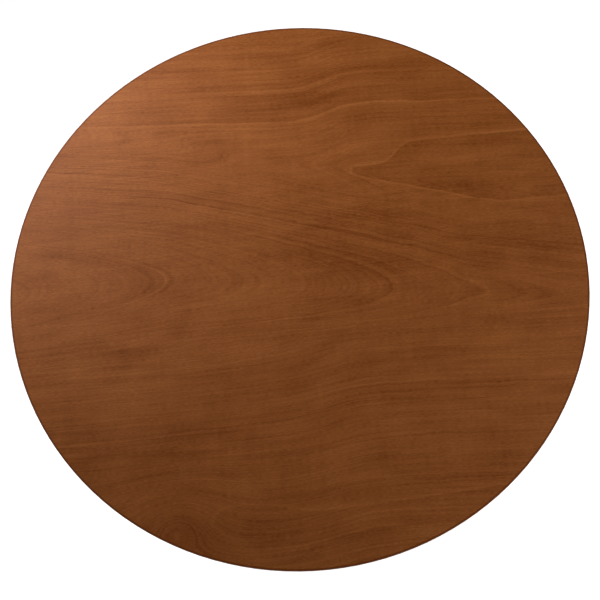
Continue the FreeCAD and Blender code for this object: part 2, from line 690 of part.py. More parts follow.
def make_catch_rod():
    """The rod of the slide bolt, drawn back from the block, with a chamfer at both ends."""
    body = new_body("catch_rod")
    profile = new_sketch(body, "XY_Plane", y=CATCH_TIP, z=CATCH_Z)
    outline(profile, [("0", "0"), ("catch_radius - catch_chamfer", "0"),
                      ("catch_radius", "-catch_chamfer"),
                      ("catch_radius", "catch_chamfer - catch_length"),
                      ("catch_radius - catch_chamfer", "-catch_length"), ("0", "-catch_length")])
    turn(body, profile)
    socket = new_sketch(body, "XY_Plane", y=f"{GUIDE_MIDDLE} - catch_travel / 2", z=CATCH_Z)
    circles(socket, "knob_stem_radius", [("0", "0")])
    pocket(body, socket, "catch_radius")


def make_catch_knob():
    """A turned knob that hangs from the rod between the guides."""
    body = new_body("catch_knob")
    profile = new_sketch(body, "XZ_Plane", y=f"{GUIDE_MIDDLE} - catch_travel / 2", z=CATCH_Z)
    middle = "knob_radius - knob_drop"
    cone_foot = f"{middle} + knob_radius * sqrt(1 - knob_cone_share ^ 2)"
    outline(profile, [("0", "0"), ("0", "-knob_drop", "knob_radius", "right"),
                      ("knob_radius", middle, "knob_radius", "right"),
                      ("knob_radius * knob_cone_share", cone_foot),
                      ("knob_stem_radius", f"{middle} + knob_cone_rise"), ("knob_stem_radius", "0")])
    turn(body, profile)


# ---- the column ----

def make_column():
    """The turned column with a round tenon, flats and dovetail housings for the legs."""
    body = new_body("column", "rear_leg_angle")
    profile = new_sketch(body, "XZ_Plane")
    ring_top = f"{BLOCK_BOTTOM} - collar_drop"
    ring_bottom = f"{ring_top} - collar_height"
    foot_bottom = f"{HUB_TOP} + hub_shoulder"
    outline(profile, [
        ("0", "hub_bottom"), ("hub_radius - hub_chamfer", "hub_bottom"),
        ("hub_radius", "hub_bottom + hub_chamfer"),
        ("hub_radius", HUB_TOP, "hub_shoulder_round", "right"),
        ("hub_radius - hub_shoulder", foot_bottom), ("shaft_base_radius", foot_bottom),
        ("shaft_base_radius", f"{foot_bottom} + shaft_foot", "shaft_arc_radius", "right"),
        ("shaft_neck_radius", ring_bottom), ("collar_radius", ring_bottom, "collar_round", "right"),
        ("collar_radius", ring_top), ("shaft_neck_radius", ring_top),
        ("shaft_neck_radius", f"{ring_top} + neck_height", "neck_flare", "left"),
        ("shoulder_radius", f"{BLOCK_BOTTOM} - shoulder_height"), ("shoulder_radius", BLOCK_BOTTOM),
        ("tenon_radius", BLOCK_BOTTOM), ("tenon_radius", BLOCK_TOP), ("0", BLOCK_TOP)])
    turn(body, profile)
    flat = new_sketch(body, "XY_Plane", z="hub_bottom")
    rectangle(flat, "leg_shoulder", "-leg_thickness / 2", "2 * hub_radius", "leg_thickness / 2")
    flat = pocket(body, flat, "leg_shoulder_height", reverse=True)
    housing = new_sketch(body, "XY_Plane", z="hub_bottom")
    dovetail(housing)
    housing = pocket(body, housing, "dovetail_height", reverse=True)
    around_column(body, [flat, housing])
    screws = new_sketch(body, "XY_Plane", z="hub_bottom")
    circles(screws, "wood_screw_radius", [("spider_screw_inner", "0")])
    screws = pocket(body, screws, "spider_screw_length - spider_thickness", reverse=True)
    around_column(body, [screws])
    kerf = new_sketch(body, "XZ_Plane")
    wedge_outline(kerf)
    pocket(body, kerf, "3 * tenon_radius", centred=True)


def dovetail(sketch):
    """Plan of a leg's tail, wider at its inner end."""
    outline(sketch, [("leg_shoulder", "-dovetail_neck / 2"), ("leg_shoulder", "dovetail_neck / 2"),
                     ("leg_shoulder - dovetail_depth", "dovetail_tail / 2"),
                     ("leg_shoulder - dovetail_depth", "-dovetail_tail / 2")])


def wedge_outline(sketch):
    """End view of the wedge in the tenon."""
    tip = f"{BLOCK_TOP} - wedge_depth"
    outline(sketch, [("-wedge_tip / 2", tip), ("wedge_tip / 2", tip), ("wedge_width / 2", BLOCK_TOP),
                     ("-wedge_width / 2", BLOCK_TOP)])


def make_tenon_wedge():
    """The wedge driven into the tenon, just short of the wall of the mortise."""
    body = new_body("tenon_wedge", "rear_leg_angle")
    sketch = new_sketch(body, "XZ_Plane")
    wedge_outline(sketch)
    pad(body, sketch, "2 * (tenon_radius - wedge_play)", centred=True)


# ---- the legs and feet ----

def ogee_radius(run, drop):
    """Radius of the two equal arcs that make a curve level at both ends, from its run and drop."""
    return f"((({run}) / 2) ^ 2 + (({drop}) / 2) ^ 2) / ({drop})"


def make_leg(label, angle):
    """A sawn leg: both edges are pairs of equal arcs, level at the column and at the toe."""
    body = new_body(label, angle)
    side = new_sketch(body, "XZ_Plane")
    top = "hub_bottom + leg_shoulder_height"
    toe_top = "glide_height + toe_height"
    heel = "leg_reach - toe_round"
    arch = ogee_radius("arch_end - arch_start", "hub_bottom - glide_height")
    back = ogee_radius(f"{heel} - leg_shoulder", f"{top} - ({toe_top})")
    outline(side, [
        ("leg_shoulder", "hub_bottom"), ("arch_start", "hub_bottom", arch, "left"),
        ("(arch_start + arch_end) / 2", "(hub_bottom + glide_height) / 2", arch, "right"),
        ("arch_end", "glide_height"), ("leg_reach - sole_round", "glide_height", "sole_round", "right"),
        ("leg_reach", "glide_height + sole_round", "toe_round", "right"),
        (heel, toe_top, back, "left"),
        (f"(leg_shoulder + {heel}) / 2", f"({top} + {toe_top}) / 2", back, "right"),
        ("leg_shoulder", top)])
    pad(body, side, "leg_thickness", centred=True)
    shoulder = number("leg_shoulder")
    edge_treatment(body, "Fillet", "leg_round",
                   lambda edge: edge.BoundBox.XMax > shoulder + CLOSE
                   and edge.BoundBox.YLength < CLOSE)
    tail = new_sketch(body, "XY_Plane", z="hub_bottom")
    dovetail(tail)
    pad(body, tail, "dovetail_height")
    screw = new_sketch(body, "XY_Plane", z="hub_bottom")
    circles(screw, "wood_screw_radius", [("spider_screw_outer", "0")])
    pocket(body, screw, "spider_screw_length - spider_thickness", reverse=True)
    nail = new_sketch(body, "XY_Plane", z="glide_height")
    circles(nail, "nail_radius", [("glide_reach", "0")])
    pocket(body, nail, "nail_length - glide_height / 2", reverse=True)


def make_glide(label, angle):
    """A nylon glide, counterbored for the head of its nail."""
    body = new_body(label, angle)
    profile = new_sketch(body, "XZ_Plane", x="glide_reach")
    outline(profile, [("nail_head_radius", "0"), ("glide_radius - glide_chamfer", "0"),
                      ("glide_radius", "glide_chamfer"), ("glide_radius", "glide_height"),
                      ("nail_radius", "glide_height"), ("nail_radius", "glide_height / 2"),
                      ("nail_head_radius", "glide_height / 2")])
    turn(body, profile)


def make_glide_nails():
    """A nail through each glide, with its head below the tread."""
    body = new_body("glide_nails", "rear_leg_angle")
    head = "glide_height / 2 - nail_head_height"
    profile = new_sketch(body, "XZ_Plane", x="glide_reach")
    outline(profile, [("0", head), ("nail_head_radius", head),
                      ("nail_head_radius", "glide_height / 2"), ("nail_radius", "glide_height / 2"),
                      ("nail_radius", f"{head} + nail_length - nail_point"),
                      ("0", f"{head} + nail_length")])
    around_column(body, [turn(body, profile)])


def make_spider_plate():
    """A three-armed iron plate that ties the legs to the column."""
    body = new_body("spider_plate", "rear_leg_angle")
    bottom = "hub_bottom - spider_thickness"
    middle = new_sketch(body, "XY_Plane", z=bottom)
    circles(middle, "spider_radius", [("0", "0")])
    pad(body, middle, "spider_thickness")
    arm = new_sketch(body, "XY_Plane", z=bottom)
    half = "spider_arm_width / 2"
    neck = f"spider_reach - {half}"
    outline(arm, [("0", f"-{half}"), (neck, f"-{half}", half, "right"),
                  ("spider_reach", "0", half, "right"), (neck, half), ("0", half)])
    arm = pad(body, arm, "spider_thickness")
    around_column(body, [arm])
    holes = [upright_screw_hole(body, "2 * spider_thickness", "wood_screw_radius", "wood_screw_head",
                                reach, "0", bottom)
             for reach in ("spider_screw_inner", "spider_screw_outer")]
    around_column(body, holes)


def make_spider_screws():
    """Three screws into the column and one into each leg."""
    body = new_body("spider_screws", "rear_leg_angle")
    screws = []
    for reach in ("spider_screw_inner", "spider_screw_outer"):
        screws += upright_screw(body, "spider_screw_length", "wood_screw_radius", "wood_screw_head",
                                reach, "0", "hub_bottom - spider_thickness")
    around_column(body, screws)


def make_table():
    """Every piece of the table."""
    make_face_veneer()
    make_core()
    make_backing_veneer()
    make_edge_band()
    for side, sign in (("left", "-1"), ("right", "1")):
        make_bearer(f"bearer_{side}", sign)
        make_bush(f"pivot_bush_{side}", sign)
        make_pivot_bolt(f"pivot_bolt_{side}", sign)
    make_bearer_screws()
    make_pivot_washers()
    make_tilt_block()
    make_rest_buffers()
    make_stop_buffers()
    make_keeper()
    make_keeper_screws()
    make_catch_plate()
    make_catch_screws()
    make_catch_guides()
    make_catch_rod()
    make_catch_knob()
    make_column()
    make_tenon_wedge()
    for place, turns in (("rear", 0), ("front_left", 1), ("front_right", 2)):
        angle = f"rear_leg_angle + {turns} * 360 / {LEG_COUNT}"
        make_leg(f"leg_{place}", angle)
        make_glide(f"foot_glide_{place}", angle)
    make_glide_nails()
    make_spider_plate()
    make_spider_screws()


def check_document():
    """Stop if any object failed or any piece isn't a sound solid."""
    doc.recompute()
    for item in doc.Objects:
        if "Invalid" in item.State or "Error" in item.State:
            raise RuntimeError(f"{item.Name} failed: {item.State}")
    for body in pieces():
        if body.Shape.isNull() or not body.Shape.isValid() or not body.Shape.Solids:
            raise RuntimeError(f"{body.Label} isn't a sound solid")


def pieces():
    """The bodies, one for each file."""
    return [item for item in doc.Objects if item.TypeId == "PartDesign::Body"]


def write_pieces():
    """Write each piece under its label."""
    os.makedirs("parts", exist_ok=True)
    for body in pieces():
        body.Shape.exportStep(f"parts/{body.Label}.step")
        print(f"{body.Label}: {len(body.Shape.Solids)} solid(s), {body.Shape.Volume:.1f} mm3")


fill_sheet()
make_table()
check_document()
write_pieces()
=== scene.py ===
import math

import bpy
from mathutils import Matrix, Vector


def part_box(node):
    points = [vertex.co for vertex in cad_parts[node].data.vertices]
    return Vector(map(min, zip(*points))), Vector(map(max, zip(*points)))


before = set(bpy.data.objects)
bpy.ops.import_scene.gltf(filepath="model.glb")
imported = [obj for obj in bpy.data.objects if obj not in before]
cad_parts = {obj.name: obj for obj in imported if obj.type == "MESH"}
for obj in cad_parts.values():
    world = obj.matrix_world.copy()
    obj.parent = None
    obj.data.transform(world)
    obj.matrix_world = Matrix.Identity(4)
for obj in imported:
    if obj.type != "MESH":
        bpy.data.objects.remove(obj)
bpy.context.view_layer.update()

# A tilt top table: a round veneered top on bearers, a turned column and three sawn legs.
# Metres, in the frame of the CAD model: +Z up, origin on the floor, grain of the top along X, front -Y.

face_low, face_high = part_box("face_veneer")
TOP_Z = face_high[2]
TOP_RADIUS = (face_high[0] - face_low[0]) / 2
BLOCK_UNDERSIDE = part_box("tilt_block")[0][2]


# ---- values that vary over a surface ----

class Field:
    """An output of a material node. Arithmetic on it adds maths nodes to the material."""

    def __init__(self, tree, socket):
        self.tree = tree
        self.socket = socket

    def __add__(self, other):
        return maths("ADD", self, other)

    def __sub__(self, other):
        return maths("SUBTRACT", self, other)

    def __rsub__(self, other):
        return maths("SUBTRACT", other, self)

    def __mul__(self, other):
        return maths("MULTIPLY", self, other)

    def __truediv__(self, other):
        return maths("DIVIDE", self, other)

    __radd__ = __add__
    __rmul__ = __mul__


def plug(target, value):
    """Feed an input from a Field, or set it to a plain number."""
    if isinstance(value, Field):
        value.tree.links.new(value.socket, target)
    else:
        target.default_value = value


def maths(operation, *values):
    """One maths node; at least one of the values is a Field."""
    tree = next(value.tree for value in values if isinstance(value, Field))
    node = tree.nodes.new("ShaderNodeMath")
    node.operation = operation
    for target, value in zip(node.inputs, values):
        plug(target, value)
    return Field(tree, node.outputs[0])


def step(value, low, high, bottom=0.0, top=1.0):
    """Rises smoothly from bottom to top as the value goes from low to high."""
    node = value.tree.nodes.new("ShaderNodeMapRange")
    node.interpolation_type = "SMOOTHSTEP"
    for name, number in (("From Min", low), ("From Max", high), ("To Min", bottom), ("To Max", top)):
        node.inputs[name].default_value = number
    plug(node.inputs["Value"], value)
    return Field(value.tree, node.outputs["Result"])


def point(x, y, z=0.0):
    """A place in texture space, from three values."""
    tree = next(value.tree for value in (x, y, z) if isinstance(value, Field))
    node = tree.nodes.new("ShaderNodeCombineXYZ")
    for target, value in zip(node.inputs, (x, y, z)):
        plug(target, value)
    return Field(tree, node.outputs[0])


def split(place):
    """The three coordinates of a place."""
    node = place.tree.nodes.new("ShaderNodeSeparateXYZ")
    plug(node.inputs[0], place)
    return [Field(place.tree, output) for output in node.outputs]


def along_grain(place, grain, pith):
    """The three coordinates of a place measured from the pith, with the third along the grain."""
    turn = Vector(grain).rotation_difference(Vector((0, 0, 1))).to_matrix()
    node = place.tree.nodes.new("ShaderNodeMapping")
    node.vector_type = "POINT"
    node.inputs["Rotation"].default_value = turn.to_euler()
    node.inputs["Location"].default_value = turn @ -Vector(pith)
    plug(node.inputs["Vector"], place)
    return split(Field(place.tree, node.outputs[0]))


def noise(place, scale=1.0, detail=2.0, roughness=0.5):
    """Smooth noise about 0, between -0.5 and 0.5."""
    node = place.tree.nodes.new("ShaderNodeTexNoise")
    node.inputs["Scale"].default_value = scale
    node.inputs["Detail"].default_value = detail
    node.inputs["Roughness"].default_value = roughness
    plug(node.inputs["Vector"], place)
    return Field(place.tree, node.outputs[0]) - 0.5


def ramp(value, *stops):
    """A grey profile through (position, level) stops."""
    node = value.tree.nodes.new("ShaderNodeValToRGB")
    elements = node.color_ramp.elements
    while len(elements) < len(stops):
        elements.new(1.0)
    for element, (position, level) in zip(elements, stops):
        element.position = position
        element.color = (level, level, level, 1)
    plug(node.inputs[0], value)
    return Field(value.tree, node.outputs[0])


def colour_mix(factor, low, high):
    """The colour between low and high."""
    node = factor.tree.nodes.new("ShaderNodeMix")
    node.data_type = "RGBA"
    plug(node.inputs[0], factor)
    for target, colour in ((node.inputs[6], low), (node.inputs[7], high)):
        target.default_value = (*colour, 1)
    return Field(factor.tree, node.outputs[2])


# ---- materials ----

def new_material(name):
    """A material with a Principled shader, and the surface's own coordinates in metres."""
    material = bpy.data.materials.new(name)
    material.use_nodes = True
    tree = material.node_tree
    shader = next(node for node in tree.nodes if node.type == "BSDF_PRINCIPLED")
    coordinates = tree.nodes.new("ShaderNodeTexCoord")
    return material, shader, Field(tree, coordinates.outputs["Object"])


def relief(shader, height, depth):
    """Bump from a height between 0 and 1, of a depth in metres."""
    node = height.tree.nodes.new("ShaderNodeBump")
    node.inputs["Distance"].default_value = depth
    plug(node.inputs["Height"], height)
    height.tree.links.new(node.outputs[0], shader.inputs["Normal"])


EDGE_OUTSIDE = 0.006
EDGE_WIDTH = 0.036


def edge_line(inward):
    """A pale line where a layer comes to the face, and the shade inside it. The profile is EDGE_WIDTH
    across and starts EDGE_OUTSIDE outside the edge; inward is in metres."""
    place = (inward + EDGE_OUTSIDE) / EDGE_WIDTH
    profile = ramp(place, (0.0, 0.50), (0.10, 0.60), (0.16, 1.0), (0.22, 0.22), (0.45, 0.36), (1.0, 0.50))
    return profile - 0.5


def hairlines(value, width):
    """Thin dark lines where the value crosses zero."""
    return maths("MINIMUM", maths("ABSOLUTE", value) / width, 1.0) - 1.0


def hump(value, middle, width):
    """1 in the middle and falling to 0 on both sides of it."""
    offset = (value - middle) / width
    return maths("EXPONENT", offset * offset * -1.0)


def rise(value, middle, half_width, half_height):
    """A soft step from -half_height to half_height as the value passes the middle."""
    return half_height * maths("TANH", (value - middle) / half_width)


def beyond(value, start):
    """How far the value is past the start, and 0 before it."""
    return maths("MAXIMUM", value - start, 0.0)


# The figure of the face. Places and sizes are in metres; slopes, strengths and layer counts are
# plain numbers. The nested tongues lie round an axis that is level as far as TONGUE_AXIS_BEND and then
# falls to the right. Their front sides stay closer to it than their back sides.
TONGUE_AXIS = -0.003
TONGUE_AXIS_FALL = 0.14
TONGUE_AXIS_BEND = -0.15
TONGUE_NOSE = 0.070
TONGUE_LENGTH_FRONT = 0.70
TONGUE_LENGTH_BEHIND = 0.50
TONGUE_STRETCH_START = 0.2
TONGUE_STRETCH = 0.7
MAIN_TIP = 0.115
TONGUE_SPACING = 0.062
MAIN_TIP_STRENGTH = 0.8
OTHER_TIPS = [(-0.160, 0.65), (0.155, 0.50), (0.208, 0.55)]   # x of the tip, strength of its line

# In front of the tongues: the y where this part starts and where it is full, its layers, the lines that
# stand out, and a hook near the edge.
FRONT_START = -0.04
FRONT_FULL = -0.10
FRONT_SPACING = 0.014
FRONT_BASE_Y = -0.08
FRONT_BASE_LAYER = -5.6
FRONT_LINE_REACH = 0.18
FRONT_LINES = [                    # height in the flow of the layers, x of its middle, strength
    (-0.084, -0.20, 0.60),
    (-0.144, 0.16, 0.75),
    (-0.152, 0.12, 0.40),
    (-0.169, -0.20, 0.40),
    (-0.257, 0.12, 0.65),
]
HOOK_Y = -0.275
HOOK_FADE_Y = -0.274
HOOK_LEFT = -0.124
HOOK_ROUNDING = 0.030

# Behind the tongues: the dark bundle that falls to the right, the level shelf, and the island in it.
BUNDLE_Y = 0.096
BUNDLE_FALL = 0.29
BUNDLE_CURVE = 0.15
SHELF_Y = 0.2245
SHELF_SPACING = 0.036
SHELF_BASE_LAYER = -9.0
SHELF_LINES = [(0.0, 1.05), (0.045, 0.45), (0.074, 0.35)]     # distance behind the shelf, strength
ISLAND_LEFT = 0.077
ISLAND_ROUNDING = 0.012


def tongues(x, y):
    """Rings cut at a slant, which open to the left: the layers crossed, and the lines that stand out."""
    across = y - (TONGUE_AXIS - TONGUE_AXIS_FALL * maths("MAXIMUM", x, TONGUE_AXIS_BEND))
    behind = maths("GREATER_THAN", across, 0.0)
    ratio = across / TONGUE_NOSE
    length = TONGUE_LENGTH_FRONT - (TONGUE_LENGTH_FRONT - TONGUE_LENGTH_BEHIND) * behind
    reach = x - TONGUE_STRETCH * beyond(x, TONGUE_STRETCH_START)
    cone = reach + length * (maths("SQRT", ratio * ratio + 1.0) - 1.0)
    # Dividing by the steepness keeps a line about as wide on its sides as at its tip. near_tip fades the
    # sides.
    steepness = 1.0 + 4.2 * maths("ABSOLUTE", ratio)
    near_tip = 0.25 + 0.75 * hump(ratio, middle=0.0, width=0.8)
    lines = MAIN_TIP_STRENGTH * near_tip * edge_line((MAIN_TIP - cone) / steepness)
    for tip, strength in OTHER_TIPS:
        lines = lines + strength * near_tip * edge_line((tip - cone) / steepness)
    return (MAIN_TIP - cone) / TONGUE_SPACING, lines


def front_flow(x, y):
    """The height of the layers in front: a low wave up to the right, then a fall, and an arch over a
    swirl."""
    wave = (rise(x, middle=0.02, half_width=0.045, half_height=0.009)
            + rise(x, middle=-0.05, half_width=0.10, half_height=0.12 * beyond(y, -0.14)))
    fall = 0.050 * beyond(x, 0.06)
    swirl = hump(x, middle=-0.165, width=0.050) * hump(y, middle=-0.278, width=0.038)
    return y - wave + fall - 0.050 * swirl


def hook_line(x, y):
    """Near the front edge, the outline of a hook that opens to the right."""
    crest = HOOK_Y - rise(x, middle=-0.04, half_width=0.025, half_height=0.007) + 0.06 * beyond(x, 0.03)
    hook = maths("SMOOTH_MIN", crest - y, 0.7 * (x - HOOK_LEFT), HOOK_ROUNDING)
    return 0.6 * hump(y, HOOK_FADE_Y, width=0.018) * edge_line(hook)


def island_line(x, y):
    """A low island in the level part, which opens to the right."""
    high_side = 0.1595 + rise(x, middle=0.135, half_width=0.012, half_height=0.0135)
    low_side = maths("MAXIMUM", 0.157 - 0.30 * x, 0.080)
    sides = maths("MINIMUM", high_side - y, y - low_side)
    island = maths("SMOOTH_MIN", sides, 0.8 * (x - ISLAND_LEFT), ISLAND_ROUNDING)
    return 1.2 * edge_line(island)


def veneer_figure(x, y):
    """The figure of the face: how many layers the cut has crossed, the lines that stand out, how near a
    place is to the dark bundle of lines, how far in front of the tongues it is, and the way that the
    fibres run there."""
    layers, lines = tongues(x, y)
    flow = front_flow(x, y)
    front = step(y + 0.03 * x, FRONT_START, FRONT_FULL)
    front_layers = (flow - FRONT_BASE_Y) / FRONT_SPACING + FRONT_BASE_LAYER
    layers = layers + front * (front_layers - layers)
    for place, middle, strength in FRONT_LINES:
        lines = lines + strength * front * hump(x, middle, FRONT_LINE_REACH) * edge_line(place - flow)
    lines = lines + hook_line(x, y)
    sag = 0.008 * maths("SINE", (x + 0.10) * -26.0) * hump(x, middle=-0.03, width=0.15)
    above_bundle = y - (BUNDLE_Y - BUNDLE_FALL * x + BUNDLE_CURVE * x * x + sag)
    bundle = hump(above_bundle, middle=-0.012, width=0.032) * step(x, 0.32, 0.10, 0.35, 1.0)
    shelf = SHELF_Y + rise(x, middle=0.055, half_width=0.030, half_height=0.013) - 0.075 * (x - 0.05)
    shelf_layers = (y - shelf) / -SHELF_SPACING + SHELF_BASE_LAYER
    layers = layers + step(above_bundle, 0.012, 0.070) * (shelf_layers - layers)
    for height, strength in SHELF_LINES:
        lines = lines + strength * edge_line(y - shelf - height)
    lines = lines + island_line(x, y)
    return layers, lines, bundle, front, y + front * (flow - y)


# Broad patches of the face: middle, half widths, and how much paler than the rest.
PATCHES = [
    (0.000, 0.243, 0.060, 0.013, -0.22),
    (0.040, 0.190, 0.080, 0.030, 0.13),
    (-0.130, 0.200, 0.120, 0.090, 0.08),
    (0.080, 0.030, 0.090, 0.060, -0.10),
    (-0.160, 0.020, 0.060, 0.050, -0.07),
    (-0.230, -0.120, 0.070, 0.020, 0.11),
    (-0.240, -0.170, 0.100, 0.060, -0.12),
    (-0.200, -0.072, 0.050, 0.008, -0.22),
    (-0.110, -0.160, 0.030, 0.010, -0.15),
    (-0.180, -0.210, 0.060, 0.045, -0.08),
    (-0.170, -0.290, 0.060, 0.030, -0.24),
    (-0.060, -0.300, 0.050, 0.018, -0.16),
    (0.030, -0.180, 0.060, 0.030, 0.07),
    (0.260, -0.110, 0.070, 0.070, 0.09),
    (0.270, 0.010, 0.090, 0.050, -0.09),
    (-0.150, 0.290, 0.070, 0.025, -0.06),
]


def patch_tone(x, y):
    """How much paler or darker a place is for the patch that it lies in."""
    parts = [hump(x, middle_x, wide) * hump(y, middle_y, high) * strength
             for middle_x, middle_y, wide, high, strength in PATCHES]
    return sum(parts[1:], parts[0])


VENEER_PALE = (0.342, 0.1105, 0.0248)
VENEER_DEEP = (0.153, 0.0330, 0.0002)
RIM_SHADE_START = TOP_RADIUS - 0.0028
RIM_SHADE_FULL = TOP_RADIUS - 0.0012


def show_veneer():
    """Brown stained veneer with the figure of the face, and a darker rim."""
    material, shader, place = new_material("show_veneer")
    x, y, _ = split(place)
    # The first two numbers of each noise say how fast it varies along x and across the grain, per metre or
    # per layer. The third only makes it differ from the others.
    sway = noise(point(x * 5.0, y * 9.0), detail=3.0)
    wave = noise(point(x * 30.0, y * 60.0, 3.0), detail=3.0, roughness=0.6) * step(x, -0.25, 0.15, 0.5, 1.2)
    figure_x = x + 0.010 * sway + 0.006 * wave
    figure_y = y + 0.006 * sway + 0.0045 * wave
    layers, lines, bundle, front, flow = veneer_figure(figure_x, figure_y)
    fade = step(noise(point(x * 5.0, y * 14.0, 11.0), detail=2.0), -0.22, 0.20, 0.35, 1.0)
    streaks = noise(point(x * 2.0, layers * 1.3, 7.0), detail=4.0, roughness=0.6)
    fibres = noise(point(x * 4.0, layers * 6.0, 5.0), detail=4.0, roughness=0.65)
    hair = hairlines(noise(point(x * 1.5, layers * 3.0, 1.0), detail=2.0), 0.045)
    straight = noise(point(x * 12.0, flow * 420.0, 2.0), detail=3.0, roughness=0.6)
    flecks = noise(point(x * 190.0, y * 1100.0, 4.0), detail=2.0, roughness=0.7)
    ripple = noise(point(x * 90.0, y * 16.0, 9.0), detail=2.0)
    mottle = noise(point(x * 16.0, flow * 45.0, 6.0), detail=3.0)
    cloud = noise(point(x * 4.0, y * 5.0, 8.0), detail=2.0)
    rim = step(maths("SQRT", x * x + y * y), RIM_SHADE_START, RIM_SHADE_FULL)
    # Tone 0 is the deep colour and 1 the pale one. Each strength is how far that part moves the tone.
    tone = (0.52 + (0.28 + 0.38 * fade) * lines
            + (0.25 + 0.05 * front) * streaks
            + (0.42 + 0.08 * front) * fibres
            + (0.05 + 0.11 * fade + 0.17 * bundle) * hair
            + 0.60 * straight + 1.3 * flecks + 0.20 * ripple + 0.65 * mottle + 0.4 * cloud
            + patch_tone(figure_x, figure_y)
            + bundle * (0.75 * fibres - 0.02)
            - 0.90 * rim)
    plug(shader.inputs["Base Color"], colour_mix(tone, VENEER_DEEP, VENEER_PALE))
    plug(shader.inputs["Roughness"], 0.50 + 0.12 * flecks + 0.05 * mottle)
    shader.inputs["Specular IOR Level"].default_value = 0.15
    relief(shader, 0.5 + 0.6 * flecks + 0.3 * straight, 0.00006)
    return material


PALE_STAIN = (0.300, 0.0940, 0.0190)
DEEP_STAIN = (0.105, 0.0280, 0.0050)
RING_WIDTH = 0.0045
SCUFFS_AND_DARKENING_START_Z = 0.075
SCUFFS_AND_DARKENING_FULL_Z = 0.015
LIPPING_PIECES = 6
LIPPING_JOINT = 0.0006


def wood_tone(x, y, z):
    """Solid wood about a pith on the z axis: rings, fibres and pores; also a height for its relief."""
    drift = noise(point(x * 7.0, y * 7.0, z * 2.0), detail=2.0)
    radius = maths("SQRT", x * x + y * y) + 0.012 * drift
    phase = maths("FRACT", radius / RING_WIDTH)
    line = ramp(phase, (0.0, 0.85), (0.10, 1.0), (0.70, 0.45), (0.92, 0.0), (1.0, 0.85))
    fibres = noise(point(x * 420.0, y * 420.0, z * 8.0), detail=3.0, roughness=0.6)
    flecks = noise(point(x * 1100.0, y * 1100.0, z * 120.0), detail=2.0, roughness=0.7)
    mottle = noise(point(x * 16.0, y * 16.0, z * 6.0), detail=3.0)
    tone = 0.5 + 0.34 * (line - 0.55) + 0.38 * fibres + 0.60 * flecks + 0.75 * mottle
    return tone, 0.5 + 0.6 * flecks + 0.4 * fibres


def finish_wood(shader, tone, height, pale=PALE_STAIN, deep=DEEP_STAIN):
    """Stain and satin lacquer over a wood's tone."""
    plug(shader.inputs["Base Color"], colour_mix(tone, deep, pale))
    plug(shader.inputs["Roughness"], 0.50 - 0.16 * tone)
    shader.inputs["Specular IOR Level"].default_value = 0.22
    relief(shader, height, 0.00008)


def solid_wood(name, grain=(0, 0, 1), pith=(0.05, 0.03, 0), **colours):
    """Stained solid wood: rings round a pith beside the piece, and fibres along the grain."""
    material, shader, place = new_material(name)
    x, y, z = along_grain(place, grain, pith)
    tone, height = wood_tone(x, y, z)
    finish_wood(shader, tone, height, **colours)
    return material


def turned_wood(name, pith):
    """Solid wood off the lathe, with faint rings left by the tool."""
    material, shader, place = new_material(name)
    x, y, z = split(place)
    tone, height = wood_tone(x - pith[0], y - pith[1], z)
    tool_marks = noise(point(z * 1500.0, 5.0), detail=2.0)
    finish_wood(shader, tone + 0.06 * tool_marks, height + 0.25 * tool_marks)
    return material


def leg_wood(name, grain, pith):
    """A leg's wood, with scuffs that gather towards the toe, and darker towards the toe."""
    material, shader, place = new_material(name)
    x, y, z = along_grain(place, grain, pith)
    tone, height = wood_tone(x, y, z)
    low = step(split(place)[2], SCUFFS_AND_DARKENING_START_Z, SCUFFS_AND_DARKENING_FULL_Z)
    scuffs = step(noise(place, scale=130.0, detail=4.0, roughness=0.7), 0.05, 0.16) * low
    # Besides the scuffs, the whole leg is made a little darker towards the toe.
    finish_wood(shader, tone - 0.35 * scuffs - 0.10 * low, height - 0.3 * scuffs)
    return material


def lipping_wood():
    """The lipping: pieces of solid wood end to end round the top, with a joint line between them."""
    material, shader, place = new_material("lipping")
    x, y, z = split(place)
    round_share = maths("ARCTAN2", y, x) * (LIPPING_PIECES / (2 * math.pi))
    piece = maths("FLOOR", round_share)
    along = maths("FRACT", round_share) * (2 * math.pi * TOP_RADIUS / LIPPING_PIECES)
    # Each piece's pith is 50 mm inside and below the edge, its grain slants a little, and it comes from
    # another length of the board.
    inward = maths("SQRT", x * x + y * y) - TOP_RADIUS + 0.05
    upward = z - TOP_Z + 0.05 + 0.02 * along
    tone, height = wood_tone(inward, upward, along + 2.0 * piece)
    joint = step(along, LIPPING_JOINT, LIPPING_JOINT / 3)
    shade = noise(point(piece * 5.3, 2.0), detail=0.0)
    finish_wood(shader, tone + 0.5 * shade - 0.5 * joint, height - 0.4 * joint)
    return material


def paint(nodes, material):
    """Give CAD nodes a material."""
    for name in nodes:
        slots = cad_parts[name].data.materials
        slots.clear()
        slots.append(material)


def plain_metal(name, colour, shade, roughness):
    """Worn metal: fine scratches, and patches of duller finish."""
    material, shader, place = new_material(name)
    x, y, z = split(place)
    scratches = noise(point(x * 260.0, y * 2600.0, z * 2600.0), detail=3.0, roughness=0.7)
    patches = noise(place, scale=90.0, detail=4.0, roughness=0.6)
    plug(shader.inputs["Base Color"], colour_mix(0.55 + 0.9 * patches, shade, colour))
    plug(shader.inputs["Roughness"], roughness + 0.25 * scratches - 0.25 * patches)
    shader.inputs["Metallic"].default_value = 1.0
    relief(shader, 0.5 + scratches, 0.00002)
    return material


def dull(name, colour, shade, roughness, grain):
    """Rubber, nylon or paint: a fine pebble and uneven shade."""
    material, shader, place = new_material(name)
    pebble = noise(place, scale=grain, detail=3.0, roughness=0.6)
    patches = noise(place, scale=60.0, detail=3.0)
    tone = 0.5 + 0.9 * patches + 0.3 * pebble
    plug(shader.inputs["Base Color"], colour_mix(tone, shade, colour))
    plug(shader.inputs["Roughness"], roughness + 0.2 * pebble)
    relief(shader, 0.5 + pebble, 0.00008)
    return material


